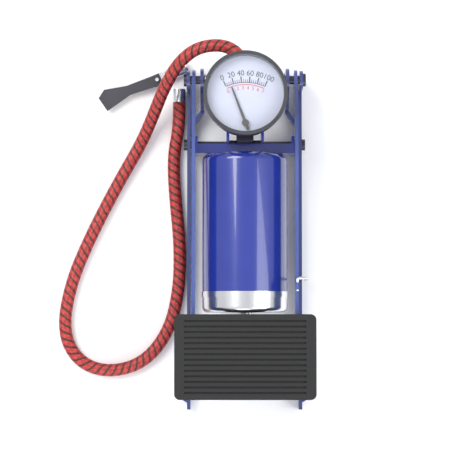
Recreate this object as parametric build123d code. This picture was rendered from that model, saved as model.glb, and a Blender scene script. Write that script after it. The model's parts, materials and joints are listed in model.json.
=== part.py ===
"""Folding foot pump: base, lever and pedal, swinging barrel with piston, gauge, hose and chuck.

Millimetres. +X right, +Y towards the hinge, +Z up. The model is drawn from the main pivot line at
Y = 0 and moved at export so that the origin is the bottom centre of the pump without its hose.
"""
import os
from math import pi, radians, tan

from build123d import *

PIVOT_Z = 34
FOOT_Y = -234
STRIP = 2.4
BASE_X = 38.8
LEVER_X = 34.8
BRACKET_X = 29.05
BASE_HEIGHT = 13
LEVER_LOW, LEVER_TOP = 46, 58
HEAD_ROD_Y, HEAD_ROD_Z, HEAD_ROD_R = -44, 9, 2.5
PIN_R = 3
FIT = 0.05
BARREL_R, BARREL_WALL, BARREL_Z = 30, 1.6, 34
BARREL_HEAD_Y, BARREL_END_Y, CAP_END_Y = -53, -150, -165
ROD_R, EYE_Y = 5, -195
PEDAL_Y0, PEDAL_Y1, PEDAL_HALF = -225, -166, 49
PAD_Z0, PAD_Z1 = LEVER_TOP + STRIP, 65.5
GROOVES, GROOVE_PITCH = 14, 3.8
GAUGE_Y, GAUGE_Z, GAUGE_R, BEZEL_R = -15, 63, 28, 28.9
HUB_Y = GAUGE_Y - 20
OUTLET_Z = 46
HOSE_R = 4.5
CHUCK = (-54, 7.5, 4.6)
CHUCK_ANGLE, CHUCK_R, CHUCK_HALF = 24, 4.3, 13.5
LATCH_HINGE = (LEVER_X + STRIP / 2, -141, LEVER_TOP + 2.2)
SHIFT_Y = -(FOOT_Y + GAUGE_Y + BEZEL_R) / 2

HOSE_ROUTE = [
    (2, -10, 46), (2, 8, 46), (-10, 23, 46), (-31, 23, 45), (-46, 13, 40), (-57, -4, 29), (-65, -22, 15),
    (-74, -42, 6), (-92, -73, 4.6), (-110, -108, 4.6), (-125, -143, 4.6), (-131, -178, 4.6),
    (-120, -200, 4.6), (-98, -208, 4.6), (-72, -201, 4.6), (-54, -178, 4.6), (-47, -148, 4.6),
    (-46.5, -115, 4.6), (-50, -82, 4.6), (-51.5, -52, 4.6), (-47, -30, 4.6), (-47.1, -12.8, 4.6),
]
SPLIT_AFTER = 3

os.makedirs("parts", exist_ok=True)


def save(name, shape):
    export_step(Pos(0, SHIFT_Y, 0) * shape, f"parts/{name}.step")


def box(x, y, z):
    (x0, x1), (y0, y1), (z0, z1) = sorted(x), sorted(y), sorted(z)
    return Pos((x0 + x1) / 2, (y0 + y1) / 2, (z0 + z1) / 2) * Box(x1 - x0, y1 - y0, z1 - z0)


def rod_x(x0, x1, y, z, r):
    return Pos((x0 + x1) / 2, y, z) * Rot(0, 90, 0) * Cylinder(r, abs(x1 - x0))


def rod_y(y0, y1, r, x=0, z=BARREL_Z):
    return Pos(x, (y0 + y1) / 2, z) * Rot(90, 0, 0) * Cylinder(r, abs(y1 - y0))


def rod_z(x, y, z0, z1, r):
    return Pos(x, y, (z0 + z1) / 2) * Cylinder(r, z1 - z0)


def side_plate(points, x0):
    return extrude(Plane.YZ.offset(x0) * Polygon(*points, align=None), STRIP, dir=(1, 0, 0))


def plan_plate(points, z0, z1):
    return extrude(Plane.XY.offset(z0) * Polygon(*points, align=None), z1 - z0, dir=(0, 0, 1))


def both_sides(name, right):
    save(f"{name}_right", right)
    save(f"{name}_left", mirror(right, about=Plane.YZ))


def pin_hole(x0, y, z, r):
    return rod_x(x0 - 5, x0 + 10, y, z, r + FIT)


def base_strip():
    bar = box((BASE_X, BASE_X + STRIP), (FOOT_Y, 6.5), (0, BASE_HEIGHT))
    ear = box((BASE_X, BASE_X + STRIP), (-6.5, 6.5), (0, PIVOT_Z))
    ear += rod_x(BASE_X, BASE_X + STRIP, 0, PIVOT_Z, 6.5)
    x = BASE_X + STRIP
    outline = [(x - 1, FOOT_Y + 4), (x + 3, FOOT_Y + 6), (x + 5.4, FOOT_Y + 12), (x - 1, FOOT_Y + 24)]
    tab = plan_plate(outline, 0, STRIP)
    part = bar + ear + tab - pin_hole(BASE_X, 0, PIVOT_Z, PIN_R)
    return part - pin_hole(BASE_X, HEAD_ROD_Y, HEAD_ROD_Z, HEAD_ROD_R)


def pivot_bracket():
    x0, x1 = BRACKET_X, BASE_X - STRIP
    ear = box((x0, x0 + STRIP), (-20, 8), (2, 30)) + rod_x(x0, x0 + STRIP, 0, PIVOT_Z, 8)
    outer = [(x0, -19), (x0 + STRIP, -19), (x1 + STRIP, -30), (x1 + STRIP, -37)]
    inner = [(x1, -37), (x1, -31), (x0, -21)]
    foot = plan_plate(outer + inner, 2, 12)
    return ear + foot - pin_hole(BRACKET_X, 0, PIVOT_Z, PIN_R)


def pivot_pin():
    outside = BASE_X + STRIP
    shank = rod_x(25, outside + 2, 0, PIVOT_Z, PIN_R)
    return shank + rod_x(outside + 0.1, outside + 2, 0, PIVOT_Z, 4.6)


def return_spring():
    coils = [Pos(x, 0, PIVOT_Z) * Rot(0, 90, 0) * Torus(4.4, 1) for x in (26, 27.5)]
    return coils[0] + coils[1]


def lever_strip():
    x = LEVER_X
    top = [(3, 27.7), (4, 40), (-27, LEVER_TOP), (-40, LEVER_TOP)]
    knee = side_plate(top + [(-40, LEVER_LOW), (-27, LEVER_LOW)], x)
    bar = box((x, x + STRIP), (-38, PEDAL_Y0 + 4), (LEVER_LOW, LEVER_TOP))
    return knee + bar + rod_x(x, x + STRIP, 0, PIVOT_Z, 7) - pin_hole(x, 0, PIVOT_Z, PIN_R)


def pedal_plate():
    plate = box((-44, 44), (PEDAL_Y0 + 3, PEDAL_Y1 - 3), (LEVER_TOP, LEVER_TOP + STRIP))
    for side in (-1, 1):
        cheek = box((side * 20, side * (20 + STRIP)), (EYE_Y - 9, EYE_Y + 9), (27, LEVER_TOP))
        plate += cheek - rod_x(side * 18, side * 25, EYE_Y, PIVOT_Z, PIN_R + FIT)
    return plate


def pedal_pad():
    pad = box((-PEDAL_HALF, PEDAL_HALF), (PEDAL_Y0, PEDAL_Y1), (PAD_Z0 - 2, PAD_Z1))
    pad = fillet(pad.edges().filter_by(Axis.Z), 4)
    pad -= box((-44.2, 44.2), (PEDAL_Y0 + 2.8, PEDAL_Y1 - 2.8), (PAD_Z0 - 3, PAD_Z0))
    middle = (PEDAL_Y0 + PEDAL_Y1) / 2
    for n in range(GROOVES):
        y = middle + (n - (GROOVES - 1) / 2) * GROOVE_PITCH
        pad -= box((-42, 42), (y - 0.7, y + 0.7), (PAD_Z1 - 1.4, PAD_Z1 + 1))
    return pad


def barrel_tube():
    outer = rod_y(BARREL_END_Y, BARREL_HEAD_Y, BARREL_R)
    outer = fillet(outer.edges().sort_by(Axis.Y)[-1], 5)
    return outer - rod_y(BARREL_END_Y - 1, BARREL_HEAD_Y - 4, BARREL_R - BARREL_WALL)


def end_cap():
    cap = rod_y(CAP_END_Y, BARREL_END_Y, BARREL_R)
    cap = fillet(cap.edges().sort_by(Axis.Y)[0], 4)
    cap += rod_y(BARREL_END_Y - 4, BARREL_END_Y - 0.1, BARREL_R + 0.5)
    cap -= rod_y(CAP_END_Y + 3, BARREL_END_Y + 1, BARREL_R - 3)
    return cap - rod_y(CAP_END_Y - 1, BARREL_END_Y, 8)


def head_crossbar():
    bar = box((-35.8, 35.8), (-52.8, -46), (18, 42))
    for side in (-1, 1):
        ear = box((side * 33.4, side * 35.8), (-52.8, -39), (HEAD_ROD_Z, 24))
        ear += rod_x(side * 33.4, side * 35.8, HEAD_ROD_Y, HEAD_ROD_Z, 5)
        bar += ear - rod_x(side * 30, side * 40, HEAD_ROD_Y, HEAD_ROD_Z, HEAD_ROD_R + FIT)
    return bar


def head_rod():
    reach = BASE_X + STRIP
    rod = rod_x(-reach - 2.4, reach + 2.4, HEAD_ROD_Y, HEAD_ROD_Z, HEAD_ROD_R)
    for side in (-1, 1):
        rod += rod_x(side * (reach + 0.1), side * (reach + 2.4), HEAD_ROD_Y, HEAD_ROD_Z, 4)
    return rod


def valve_body():
    block = box((-6, 6), (-45.9, -24), (30, 52))
    return fillet(block.edges().filter_by(Axis.Z), 2) + rod_z(0, -34, 51, GAUGE_Z, 4)


def cradle_cheek():
    return box((11, 13), (-45.9, -36), (30, GAUGE_Z)) + box((6, 13), (-45.9, -43), (30, 34))


def gauge_ring(r_out, r_in, z0, z1):
    return rod_z(0, GAUGE_Y, z0, z1, r_out) - rod_z(0, GAUGE_Y, z0 - 1, z1 + 1, r_in)


def gauge_needle():
    arm = plan_plate([(-1.1, -5), (1.1, -5), (0.45, 26), (-0.45, 26)], 79.6, 80.4)
    arm += rod_z(0, 0, 79.2, 81.2, 2.4)
    arm -= rod_z(0, 0, 79, 80.6, 0.85)
    return Pos(0, HUB_Y, 0) * Rot(0, 0, 21) * arm


def latch_wire():
    x, y, z = LATCH_HINGE
    reach = BASE_X + STRIP + 2.8
    path = FilletPolyline((x, y - 9, z), (x, y, z), (reach, y, z), (reach, y, 8), radius=2)
    return sweep(Plane(origin=path @ 0, z_dir=path % 0) * Circle(1), path)


def latch_lug():
    x, y, z = LATCH_HINGE
    lug = box((LEVER_X, LEVER_X + STRIP), (y - 8, y - 3), (LEVER_TOP, z + 2.2))
    return lug - rod_y(y - 9, y - 2, 1 + FIT, x, z)


def chuck_frame():
    return Pos(*CHUCK) * Rot(0, 0, CHUCK_ANGLE)


def chuck_lever():
    fork = [(-3, -4), (3, -4), (3, 4), (-3, 4)]
    paddle = [(-22, 5), (-38, 9), (-44, 5), (-42, -6), (-22, -2)]
    arms = plan_plate(fork + paddle, 0, 2.1)
    hole = rod_z(0, 0, -1, 3, 1.35)
    return chuck_frame() * Pos(-10, 0, 0) * (arms - hole)


def hose_radii(points):
    radii = []
    for a, b, c in zip(points, points[1:], points[2:]):
        run_in, run_out = Vector(*b) - Vector(*a), Vector(*c) - Vector(*b)
        half_turn = radians(run_in.get_angle(run_out)) / 2
        radii.append(0.45 * min(run_in.length, run_out.length) / tan(half_turn))
    return radii


def hose_tube(name, points, radii):
    path = FilletPolyline(*points, radius=radii)
    tube = sweep(Plane(origin=path @ 0, z_dir=path % 0) * Circle(HOSE_R), path)
    ratio = tube.volume / (pi * HOSE_R**2 * path.length)
    print(name, "length", round(path.length, 1), "radii", [round(r) for r in radii], "volume ratio", round(ratio, 4))
    save(name, tube)


def between(a, b, share):
    return tuple(p + (q - p) * share for p, q in zip(a, b))


def build_base():
    both_sides("base_strip", base_strip())
    both_sides("pivot_bracket", pivot_bracket())
    both_sides("pivot_pin", pivot_pin())
    both_sides("return_spring", return_spring())
    save("base_cross_brace", box((-BASE_X, BASE_X), (-222, -210), (1, 4)))
    save("head_pivot_rod", head_rod())


def build_lever():
    both_sides("lever_strip", lever_strip())
    save("pedal_plate", pedal_plate())
    save("pedal_pad", pedal_pad())
    save("rod_eye_pin", rod_x(-24.5, 24.5, EYE_Y, PIVOT_Z, PIN_R))
    save("latch_wire", latch_wire())
    save("latch_lug", latch_lug())


def build_barrel():
    save("barrel_tube", barrel_tube())
    save("end_cap", end_cap())
    save("rod_guide", rod_y(CAP_END_Y, CAP_END_Y + 10, 7.95) - rod_y(CAP_END_Y - 1, CAP_END_Y + 11, ROD_R + FIT))
    save("head_crossbar", head_crossbar())
    save("valve_body", valve_body())
    both_sides("gauge_cradle", cradle_cheek())
    nipple = rod_y(-24, -10, 2.2, 2, OUTLET_Z) + rod_y(-20, -10, HOSE_R, 2, OUTLET_Z)
    save("hose_outlet_ferrule", nipple)


def build_rod():
    save("piston_rod", rod_y(EYE_Y + 9, -62, ROD_R))
    eye = rod_x(-6, 6, EYE_Y, PIVOT_Z, 10) - rod_x(-7, 7, EYE_Y, PIVOT_Z, 6)
    save("rod_eye", eye - rod_y(EYE_Y + 9, -62, ROD_R))
    ring_hole = rod_y(-80, -60, ROD_R + 0.02)
    cup = rod_y(-72, -64, BARREL_R - BARREL_WALL - 0.1) - rod_y(-66, -60, BARREL_R - BARREL_WALL - 3)
    save("piston_cup", cup - ring_hole)
    save("piston_plate", rod_y(-75, -72, 24) - ring_hole)


def build_gauge():
    case = rod_z(0, GAUGE_Y, GAUGE_Z, 80, GAUGE_R) - rod_z(0, GAUGE_Y, GAUGE_Z + 2, 81, GAUGE_R - 1.5)
    save("gauge_case", case)
    save("gauge_bezel", gauge_ring(BEZEL_R, 26.4, 80, 87))
    save("gauge_dial", rod_z(0, GAUGE_Y, 77.6, 78.6, 26.3) - rod_z(0, HUB_Y, 77, 79, 1))
    save("gauge_lens", rod_z(0, GAUGE_Y, 83.5, 85, 26.35))
    save("gauge_needle", gauge_needle())
    movement = rod_z(0, HUB_Y + 6, GAUGE_Z + 2, 75, 9) + rod_z(0, HUB_Y, 74, 80.4, 0.8)
    save("gauge_movement", movement)


def build_chuck():
    place = chuck_frame()
    along = Rot(0, 90, 0)
    body = along * Cylinder(CHUCK_R, 2 * CHUCK_HALF) - Pos(CHUCK_HALF - 6, 0, 0) * along * Cylinder(3, 12.1)
    body -= Pos(-11, 0, 2.3) * Box(14, 12, 6)
    save("chuck_body", place * body)
    gland = along * Cylinder(3, 8) - along * Cylinder(2, 9)
    save("chuck_gland", place * Pos(CHUCK_HALF - 6, 0, 0) * gland)
    save("chuck_pin", place * Pos(-10, 0, 0) * rod_z(0, 0, -0.7, 4, 1.3))
    save("chuck_lever", chuck_lever())
    start = Vector(HOSE_ROUTE[-1])
    ferrule = Pos(start.X, start.Y + 4.8, start.Z) * Rot(90, 0, 0) * Cylinder(HOSE_R - 0.1, 9.5)
    save("chuck_ferrule", ferrule - place * along * Cylinder(CHUCK_R + 0.02, 2 * CHUCK_HALF + 1))


def build_hose():
    joint = between(HOSE_ROUTE[SPLIT_AFTER], HOSE_ROUTE[SPLIT_AFTER + 1], 0.49)
    after = between(HOSE_ROUTE[SPLIT_AFTER], HOSE_ROUTE[SPLIT_AFTER + 1], 0.53)
    radii = hose_radii(HOSE_ROUTE)
    hose_tube("hose_head_run", HOSE_ROUTE[:SPLIT_AFTER + 1] + [joint], radii[:SPLIT_AFTER])
    hose_tube("hose_floor_run", [after] + HOSE_ROUTE[SPLIT_AFTER + 1:], radii[SPLIT_AFTER:])


build_base()
build_lever()
build_barrel()
build_rod()
build_gauge()
build_chuck()
build_hose()
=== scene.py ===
"""Looks for the folding foot pump: camera, light, materials, braided hose, dial printing and springs."""
import json
from math import atan, cos, pi, radians, sin

import bmesh
import bpy
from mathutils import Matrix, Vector


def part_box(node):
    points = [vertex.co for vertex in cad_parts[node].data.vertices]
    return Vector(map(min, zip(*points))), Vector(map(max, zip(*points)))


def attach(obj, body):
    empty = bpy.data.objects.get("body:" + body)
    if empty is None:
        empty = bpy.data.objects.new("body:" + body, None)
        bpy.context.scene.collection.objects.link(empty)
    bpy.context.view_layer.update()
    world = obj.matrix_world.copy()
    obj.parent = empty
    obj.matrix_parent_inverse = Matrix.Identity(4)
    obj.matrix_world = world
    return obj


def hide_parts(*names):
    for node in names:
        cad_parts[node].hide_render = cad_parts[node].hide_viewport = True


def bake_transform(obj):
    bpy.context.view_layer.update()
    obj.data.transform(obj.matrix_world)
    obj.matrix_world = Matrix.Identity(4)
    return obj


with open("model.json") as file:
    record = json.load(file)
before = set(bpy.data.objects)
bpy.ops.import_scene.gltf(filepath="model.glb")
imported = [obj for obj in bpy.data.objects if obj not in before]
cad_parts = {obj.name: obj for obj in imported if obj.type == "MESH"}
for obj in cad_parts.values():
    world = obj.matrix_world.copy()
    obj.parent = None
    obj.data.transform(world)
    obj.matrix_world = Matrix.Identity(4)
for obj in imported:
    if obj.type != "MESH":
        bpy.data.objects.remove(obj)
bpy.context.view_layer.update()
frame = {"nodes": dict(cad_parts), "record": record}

MM = 0.001
GAUGE_LOW, GAUGE_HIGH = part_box("gauge_dial")
DIAL_X, DIAL_Y = (GAUGE_LOW.x + GAUGE_HIGH.x) / 2, (GAUGE_LOW.y + GAUGE_HIGH.y) / 2
DIAL_Z = GAUGE_HIGH.z
PIVOT_Y = DIAL_Y + 15 * MM
LEVEL = 34                      # height of the barrel's axis
AIM, STAND = (-14, -103, LEVEL), (-14, -168, 1400)
HALF_WIDTH_SEEN = 0.159
SCALE_R, SCALE_HALF, SCALE_DROP = 33, 24, 25
BLACK_NUMBER, RED_NUMBER = 5.2, 3.4
HOSE_R = 4.5 * MM
HOSE_SIDES = 48
STRANDS = 8
BRAID_PITCH, BRAID_DEPTH = 4.2 * MM, 0.35 * MM
FLECK_PITCH, FLECK_EDGE = 5.5 * MM, 0.62
SPRING_R, WIRE_R = 4.2, 0.8 * MM
SPRING_START, SPRING_LENGTH, SPRING_TURNS = 25.4, 2.8, 2.5
HOSE_ROUTE = [
    (2, -10, 46), (2, 8, 46), (-10, 23, 46), (-31, 23, 45), (-46, 13, 40), (-57, -4, 29), (-65, -22, 15),
    (-74, -42, 6), (-92, -73, 4.6), (-110, -108, 4.6), (-125, -143, 4.6), (-131, -178, 4.6),
    (-120, -200, 4.6), (-98, -208, 4.6), (-72, -201, 4.6), (-54, -178, 4.6), (-47, -148, 4.6),
    (-46.5, -115, 4.6), (-50, -82, 4.6), (-51.5, -52, 4.6), (-47, -30, 4.6), (-47.1, -12.8, 4.6),
]


def row(x, y, z):
    """A point given in millimetres from the main pivot line, in the row frame."""
    return Vector((x * MM, PIVOT_Y + y * MM, z * MM))


def link(name, data):
    piece = bpy.data.objects.new(name, data)
    bpy.context.scene.collection.objects.link(piece)
    return piece


# ---------- camera and light ----------
def make_camera():
    target, place = row(*AIM), row(*STAND)
    data = bpy.data.cameras.new("photo_camera")
    data.angle = 2 * atan(HALF_WIDTH_SEEN / (place - target).length)
    camera = link("photo_camera", data)
    camera.location = place
    camera.rotation_euler = (target - place).to_track_quat("-Z", "Y").to_euler()
    bpy.context.scene.camera = camera
    bpy.context.scene.view_settings.view_transform = "Standard"


def area_light(name, place, energy, size):
    data = bpy.data.lights.new(name, "AREA")
    data.energy, data.size = energy, size
    lamp = link(name, data)
    lamp.location = place
    lamp.rotation_euler = (-Vector(place)).to_track_quat("-Z", "Y").to_euler()


def make_studio():
    area_light("key_light", (-0.6, 0.5, 1.1), 11, 0.7)
    area_light("fill_light", (0.9, -0.3, 0.9), 7, 0.8)
    area_light("front_light", (-0.1, -1.1, 0.7), 5, 0.7)
    world = bpy.data.worlds.new("studio")
    bpy.context.scene.world = world
    world.use_nodes = True
    backdrop = world.node_tree.nodes["Background"]
    backdrop.inputs["Color"].default_value = (0.93, 0.94, 0.97, 1)
    backdrop.inputs["Strength"].default_value = 0.85
    mesh = bpy.data.meshes.new("floor")
    half = 3
    corners = [(-half, -half, 0), (half, -half, 0), (half, half, 0), (-half, half, 0)]
    mesh.from_pydata(corners, [], [(0, 1, 2, 3)])
    floor = link("floor", mesh)
    floor.location.z = -0.0004
    mesh.materials.append(finish("floor_white", (0.95, 0.95, 0.95), rough=0.6, spread=0.005))


# ---------- materials ----------
def finish(
    name, colour, metal=0.0, rough=0.4, grain=60, spread=0.12, bump=0.0, coat=0.0, stretch=(1, 1, 1)
):
    """A surface whose colour, roughness and relief all vary with two scales of noise."""
    material = bpy.data.materials.new(name)
    material.use_nodes = True
    nodes, links = material.node_tree.nodes, material.node_tree.links
    shader = nodes["Principled BSDF"]
    shader.inputs["Metallic"].default_value = metal
    shader.inputs["Coat Weight"].default_value = coat
    coords, mapping = nodes.new("ShaderNodeTexCoord"), nodes.new("ShaderNodeMapping")
    mapping.inputs["Scale"].default_value = stretch
    links.new(coords.outputs["Object"], mapping.inputs["Vector"])
    broad, fine = nodes.new("ShaderNodeTexNoise"), nodes.new("ShaderNodeTexNoise")
    broad.inputs["Scale"].default_value, fine.inputs["Scale"].default_value = grain, grain * 25
    ramp = nodes.new("ShaderNodeValToRGB")
    ramp.color_ramp.elements[0].position, ramp.color_ramp.elements[1].position = 0.3, 0.7
    ramp.color_ramp.elements[0].color = (*[c * (1 - spread) for c in colour], 1)
    ramp.color_ramp.elements[1].color = (*[min(1, c * (1 + spread)) for c in colour], 1)
    span = nodes.new("ShaderNodeMapRange")
    span.inputs["To Min"].default_value, span.inputs["To Max"].default_value = rough * 0.8, rough * 1.25
    relief = nodes.new("ShaderNodeBump")
    relief.inputs["Strength"].default_value, relief.inputs["Distance"].default_value = bump, 0.0003
    for noise in (broad, fine):
        links.new(mapping.outputs["Vector"], noise.inputs["Vector"])
    links.new(broad.outputs["Fac"], ramp.inputs["Fac"])
    links.new(ramp.outputs["Color"], shader.inputs["Base Color"])
    links.new(fine.outputs["Fac"], span.inputs["Value"])
    links.new(span.outputs["Result"], shader.inputs["Roughness"])
    links.new(fine.outputs["Fac"], relief.inputs["Height"])
    links.new(relief.outputs["Normal"], shader.inputs["Normal"])
    return material


def lens_material():
    material = finish("clear_lens", (1, 1, 1), rough=0.03, spread=0.0)
    shader = material.node_tree.nodes["Principled BSDF"]
    shader.inputs["Alpha"].default_value = 0.04
    return material


def braid_material():
    """Red weave: the strand colours, with painted shade in the weave's hollows, are stored on the hose's
    points.
    """
    material = finish("hose_braid", (0.5, 0.05, 0.04), rough=0.5, grain=300, bump=0.2)
    nodes, links = material.node_tree.nodes, material.node_tree.links
    colours, shade = nodes.new("ShaderNodeVertexColor"), nodes["Principled BSDF"]
    colours.layer_name = "strand"
    links.new(colours.outputs["Color"], shade.inputs["Base Color"])
    return material


def make_materials():
    steel = dict(metal=1.0, grain=90, stretch=(1, 0.15, 1))
    return {
        "base_paint": finish("base_paint", (0.035, 0.05, 0.19), rough=0.3, bump=0.15, coat=0.5),
        # The lever has the same blue paint as the base; its lighter colour here is painted light falling
        # on the lever strips.
        "lever_paint": finish("lever_paint", (0.05, 0.08, 0.27), rough=0.3, bump=0.15, coat=0.5),
        "barrel_paint": finish(
            "barrel_paint", (0.012, 0.028, 0.25), rough=0.22, spread=0.06, bump=0.08, coat=0.8
        ),
        "dark_steel": finish("dark_steel", (0.07, 0.07, 0.09), rough=0.35, bump=0.1, **steel),
        "zinc": finish("zinc", (0.72, 0.73, 0.75), rough=0.22, bump=0.1, **steel),
        "black_plastic": finish("black_plastic", (0.03, 0.03, 0.04), rough=0.45, bump=0.3),
        "black_rubber": finish("black_rubber", (0.005, 0.005, 0.0055), rough=0.5, bump=0.5),
        "gauge_metal": finish("gauge_metal", (0.13, 0.13, 0.14), rough=0.2, bump=0.03, **steel),
        "dial_face": finish("dial_face", (0.5, 0.53, 0.66), rough=0.5, spread=0.03),
        "clear_lens": lens_material(),
        "needle_black": finish("needle_black", (0.015, 0.015, 0.015), rough=0.4),
        "brass": finish("brass", (0.7, 0.48, 0.18), rough=0.3, **steel),
        "dial_red": finish("dial_red", (0.55, 0.03, 0.03), rough=0.5),
        "hose_braid": braid_material(),
    }


EDGED = ("strip", "plate", "pad", "bracket", "crossbar", "lug", "chuck_lever")


def dress_cad_nodes(materials):
    """Every CAD node gets its slot's surface, and plate edges are softened."""
    slots = {entry["node"]: entry["material_slot"] for entry in frame["record"]["subparts"]}
    for name, piece in frame["nodes"].items():
        piece.data.materials.clear()
        piece.data.materials.append(materials[slots[name]])
        if any(word in name for word in EDGED):
            edge = piece.modifiers.new("soft_edge", "BEVEL")
            edge.width, edge.segments, edge.limit_method = 0.0004, 2, "ANGLE"


# ---------- hose ----------
def route_line():
    """The smooth line through the hose, read from one NURBS spline on the route's points."""
    curve = bpy.data.curves.new("hose_line", "CURVE")
    curve.dimensions, curve.resolution_u = "3D", 48
    spline = curve.splines.new("NURBS")
    spline.points.add(len(HOSE_ROUTE) - 1)
    for point, place in zip(spline.points, HOSE_ROUTE):
        point.co = (*row(*place), 1)
    spline.order_u = 3
    spline.use_endpoint_u = True
    line = link("hose_line", curve)
    mesh = bpy.data.meshes.new_from_object(line)
    points = [v.co.copy() for v in mesh.vertices]
    bpy.data.objects.remove(line)
    return points


def strand_height(along, turn):
    """How far the weave stands out, and which way its strand runs, at a place on the hose."""
    right, left = along + turn * STRANDS, along - turn * STRANDS
    over = sin(right / 2) * sin(left / 2) > 0
    return abs(sin(right if over else left)), over


def strand_colour(height, over, fleck):
    if fleck:
        return 0.02, 0.015, 0.015, 1
    # Painted shade: the strands running one way get a darker red than the others, and every strand
    # darkens where the weave sinks.
    red = (0.62, 0.06, 0.045) if over else (0.42, 0.03, 0.03)
    return *[c * (0.55 + 0.45 * height) for c in red], 1


def make_hose(materials):
    line = route_line()
    around = HOSE_SIDES
    verts, colours, travelled = [], [], 0.0
    side = Vector((0, 0, 1))
    for n, centre in enumerate(line):
        ahead = (line[min(n + 1, len(line) - 1)] - line[max(n - 1, 0)]).normalized()
        side = (side - ahead * side.dot(ahead)).normalized()
        other = ahead.cross(side)
        if n:
            travelled += (centre - line[n - 1]).length
        for k in range(around):
            turn = 2 * pi * k / around
            height, over = strand_height(2 * pi * travelled / BRAID_PITCH, turn)
            reach = HOSE_R - BRAID_DEPTH * (1 - height)
            verts.append(centre + (side * cos(turn) + other * sin(turn)) * reach)
            fleck = sin(3 * turn + 2 * pi * travelled / FLECK_PITCH) > FLECK_EDGE
            colours.append(strand_colour(height, over, fleck))
    faces = []
    for n in range(len(line) - 1):
        low, high = n * around, (n + 1) * around
        for k in range(around):
            following = (k + 1) % around
            faces.append((low + k, low + following, high + following, high + k))
    faces += [tuple(range(around))[::-1], tuple(len(verts) - around + k for k in range(around))]
    mesh = bpy.data.meshes.new("braided_hose")
    mesh.from_pydata(verts, [], faces)
    layer = mesh.color_attributes.new("strand", "FLOAT_COLOR", "POINT")
    for n, colour in enumerate(colours):
        layer.data[n].color = colour
    mesh.polygons.foreach_set("use_smooth", [True] * len(mesh.polygons))
    hose = link("braided_hose", mesh)
    mesh.materials.append(materials["hose_braid"])
    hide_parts("hose_head_run", "hose_floor_run")
    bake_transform(hose)


# ---------- springs ----------
def make_spring(side, materials):
    curve = bpy.data.curves.new(f"spring_coil_{side}", "CURVE")
    curve.dimensions, curve.bevel_depth, curve.bevel_resolution = "3D", WIRE_R, 3
    sign, steps = (1 if side == "right" else -1), 60
    spline = curve.splines.new("POLY")
    spline.points.add(steps)
    for n, point in enumerate(spline.points):
        angle = 2 * pi * SPRING_TURNS * n / steps
        across = sign * (SPRING_START + SPRING_LENGTH * n / steps)
        point.co = (*row(across, SPRING_R * cos(angle), LEVEL + SPRING_R * sin(angle)), 1)
    coil = link(f"spring_coil_{side}", curve)
    curve.materials.append(materials["zinc"])
    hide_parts(f"return_spring_{side}")
    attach(coil, "base")


# ---------- dial printing ----------
def on_dial(radius, degrees):
    a = radians(degrees)
    return DIAL_X + radius * MM * sin(a), DIAL_Y - SCALE_DROP * MM + radius * MM * cos(a)


def print_mark(name, bands, material):
    """Thin raised bands, each from one angle and radius to another."""
    shape = bmesh.new()
    for r0, r1, a0, a1 in bands:
        steps = max(1, round(abs(a1 - a0)))
        rows = []
        for z in (0.00002, 0.00008):
            for r in (r0, r1):
                spots = [on_dial(r, a0 + (a1 - a0) * n / steps) for n in range(steps + 1)]
                rows.append([shape.verts.new((*spot, DIAL_Z + z)) for spot in spots])
        low0, low1, top0, top1 = rows
        for a, b in ((top0, top1), (low1, low0), (low0, top0), (top1, low1)):
            for n in range(steps):
                shape.faces.new((a[n], b[n], b[n + 1], a[n + 1]))
        for n in (0, steps):
            shape.faces.new((low0[n], low1[n], top1[n], top0[n]))
    bmesh.ops.recalc_face_normals(shape, faces=shape.faces)
    mesh = bpy.data.meshes.new(name)
    shape.to_mesh(mesh)
    shape.free()
    mesh.materials.append(material)
    piece = link(name, mesh)
    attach(piece, "barrel")


def print_numbers(name, values, radius, size, material):
    for n, value in enumerate(values):
        degrees = -SCALE_HALF + 2 * SCALE_HALF * n / (len(values) - 1)
        text = bpy.data.curves.new(f"{name}_{value}", "FONT")
        text.body, text.size, text.extrude = str(value), size * MM, 0.00003
        text.align_x = text.align_y = "CENTER"
        text.materials.append(material)
        piece = link(f"{name}_{value}", text)
        piece.location = (*on_dial(radius, degrees), DIAL_Z + 0.00006)
        piece.rotation_euler.z = -radians(degrees)
        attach(piece, "barrel")


def make_dial(materials):
    half = SCALE_HALF
    step = 2 * half / 20
    major = [(SCALE_R, SCALE_R + 4, a - 0.6, a + 0.6) for a in (-half + 4 * step * n for n in range(6))]
    minor = [(SCALE_R, SCALE_R + 2, a - 0.3, a + 0.3) for a in (-half + step * n for n in range(21))]
    black, red = materials["needle_black"], materials["dial_red"]
    print_mark("dial_scale_black", [(SCALE_R - 0.4, SCALE_R, -half, half)] + major, black)
    print_mark("dial_ticks_black", [m for n, m in enumerate(minor) if n % 4], black)
    print_mark("dial_scale_red", [(SCALE_R - 1.9, SCALE_R - 1.4, -half, half)], red)
    print_numbers("dial_number", range(0, 101, 20), SCALE_R + 6.2, BLACK_NUMBER, black)
    print_numbers("dial_red_number", range(8), SCALE_R - 4, RED_NUMBER, red)


make_camera()
materials = make_materials()
make_studio()
dress_cad_nodes(materials)
make_hose(materials)
for side in ("left", "right"):
    make_spring(side, materials)
make_dial(materials)
